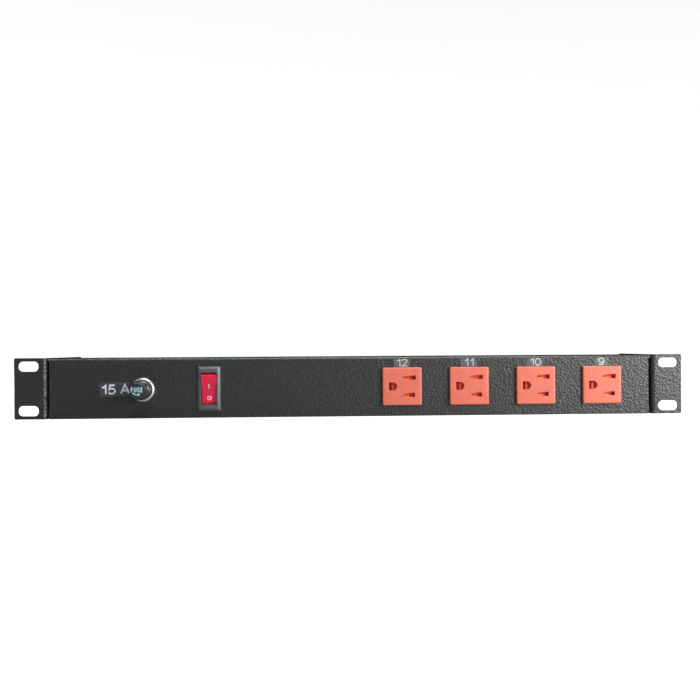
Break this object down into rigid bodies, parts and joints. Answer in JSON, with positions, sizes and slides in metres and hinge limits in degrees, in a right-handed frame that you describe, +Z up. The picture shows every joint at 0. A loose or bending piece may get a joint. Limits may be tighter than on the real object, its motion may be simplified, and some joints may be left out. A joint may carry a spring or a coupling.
{
  "type": "rack power strip",
  "caption": "One-unit 19 inch rack power strip with outlets on its front and rear faces, fuse holder, lit rocker switch, cable gland and slotted rack ears.",
  "frame": {"origin": "centre of the housing's underside", "axes": "+Z up, +X to the right seen from the front (switch) face, +Y to the rear"},
  "size_m": [0.4826, 0.1221, 0.0437],
  "materials": {
    "powder_coat": "black wrinkle powder coat on steel sheet",
    "outlet_plastic": "orange-red moulded plastic, satin",
    "outlet_back_plastic": "orange-red moulded plastic",
    "zinc_steel": "zinc-plated steel",
    "brass": "stamped brass sheet",
    "black_plastic": "black moulded plastic",
    "nickel": "bright nickel plate",
    "fuse_glass": "clear glass tube",
    "rocker_red": "translucent red lens",
    "lamp_glass": "neon lamp glass",
    "grey_nylon": "light grey nylon",
    "rubber": "black rubber",
    "white_nylon": "natural nylon",
    "wire_black": "black wire insulation",
    "wire_white": "white wire insulation"
  },
  "bodies": {
    "housing": {"housing_channel": "powder_coat", "bottom_cover": "powder_coat", "ear_bracket_left": "powder_coat", "ear_bracket_right": "powder_coat", "outlet_1": "outlet_plastic", "outlet_2": "outlet_plastic", "outlet_3": "outlet_plastic", "outlet_4": "outlet_plastic", "outlet_5": "outlet_plastic", "outlet_6": "outlet_plastic", "outlet_7": "outlet_plastic", "outlet_8": "outlet_plastic", "outlet_9": "outlet_plastic", "outlet_10": "outlet_plastic", "outlet_11": "outlet_plastic", "outlet_12": "outlet_plastic", "outlet_back_1": "outlet_back_plastic", "outlet_back_2": "outlet_back_plastic", "outlet_back_3": "outlet_back_plastic", "outlet_back_4": "outlet_back_plastic", "outlet_back_5": "outlet_back_plastic", "outlet_back_6": "outlet_back_plastic", "outlet_back_7": "outlet_back_plastic", "outlet_back_8": "outlet_back_plastic", "outlet_back_9": "outlet_back_plastic", "outlet_back_10": "outlet_back_plastic", "outlet_back_11": "outlet_back_plastic", "outlet_back_12": "outlet_back_plastic", "end_screw_left_upper": "zinc_steel", "end_screw_left_lower": "zinc_steel", "end_screw_right_upper": "zinc_steel", "end_screw_right_lower": "zinc_steel", "ground_screw": "zinc_steel", "fuse_spring": "zinc_steel", "line_bus_bar": "brass", "neutral_bus_bar": "brass", "ground_bus_bar": "brass", "switch_terminal_in": "brass", "switch_terminal_out": "brass", "switch_terminal_lamp": "brass", "fuse_holder": "black_plastic", "switch_frame": "black_plastic", "fuse_ring_nut": "nickel", "gland_body": "grey_nylon", "gland_lock_nut": "grey_nylon", "gland_gasket": "rubber", "terminal_block": "white_nylon", "wire_block_to_fuse": "wire_black", "wire_fuse_to_switch": "wire_black", "wire_switch_to_line_bar": "wire_black", "wire_lamp_to_neutral_bar": "wire_white"},
    "switch_rocker": {"switch_rocker": "rocker_red", "switch_lamp": "lamp_glass"},
    "switch_lever": {"switch_contact_lever": "brass"},
    "fuse_link": {"fuse_glass": "fuse_glass", "fuse_end_cap_front": "nickel", "fuse_end_cap_rear": "nickel"},
    "fuse_cap": {"fuse_cap": "black_plastic"},
    "gland_seal": {"gland_seal": "rubber"},
    "gland_dome_nut": {"gland_dome_nut": "grey_nylon"}
  },
  "joints": [
    {"name": "rocker_tilt", "type": "hinge", "parent": "housing", "child": "switch_rocker", "pos_m": [-0.1041, -0.0355, 0.021], "axis": [-1, 0, 0], "range_deg": [0, 24]},
    {"name": "lever_tilt", "type": "hinge", "parent": "housing", "child": "switch_lever", "pos_m": [-0.1041, -0.0258, 0.021], "axis": [-1, 0, 0], "range_deg": [-12.5, 0.5]},
    {"name": "fuse_pull", "type": "slide", "parent": "housing", "child": "fuse_link", "axis": [0, -1, 0], "range_m": [0, 0.045]},
    {"name": "fuse_cap_turn", "type": "hinge", "parent": "fuse_link", "child": "fuse_cap", "pos_m": [-0.1512, -0.0546, 0.0205], "axis": [0, -1, 0], "range_deg": [0, 75]},
    {"name": "gland_seal_travel", "type": "slide", "parent": "housing", "child": "gland_seal", "axis": [0, 1, 0], "range_m": [-0.0015, 0.0045]},
    {"name": "gland_nut_turn", "type": "hinge", "parent": "gland_seal", "child": "gland_dome_nut", "pos_m": [-0.2, 0.0675, 0.0205], "axis": [0, 1, 0], "range_deg": [-360, 1080]}
  ],
  "couplings": [
    {"joint": "lever_tilt", "follows": "rocker_tilt", "ratio": -0.5},
    {"joint": "gland_seal_travel", "follows": "gland_nut_turn", "m_per_rad": 0.0002387}
  ]
}
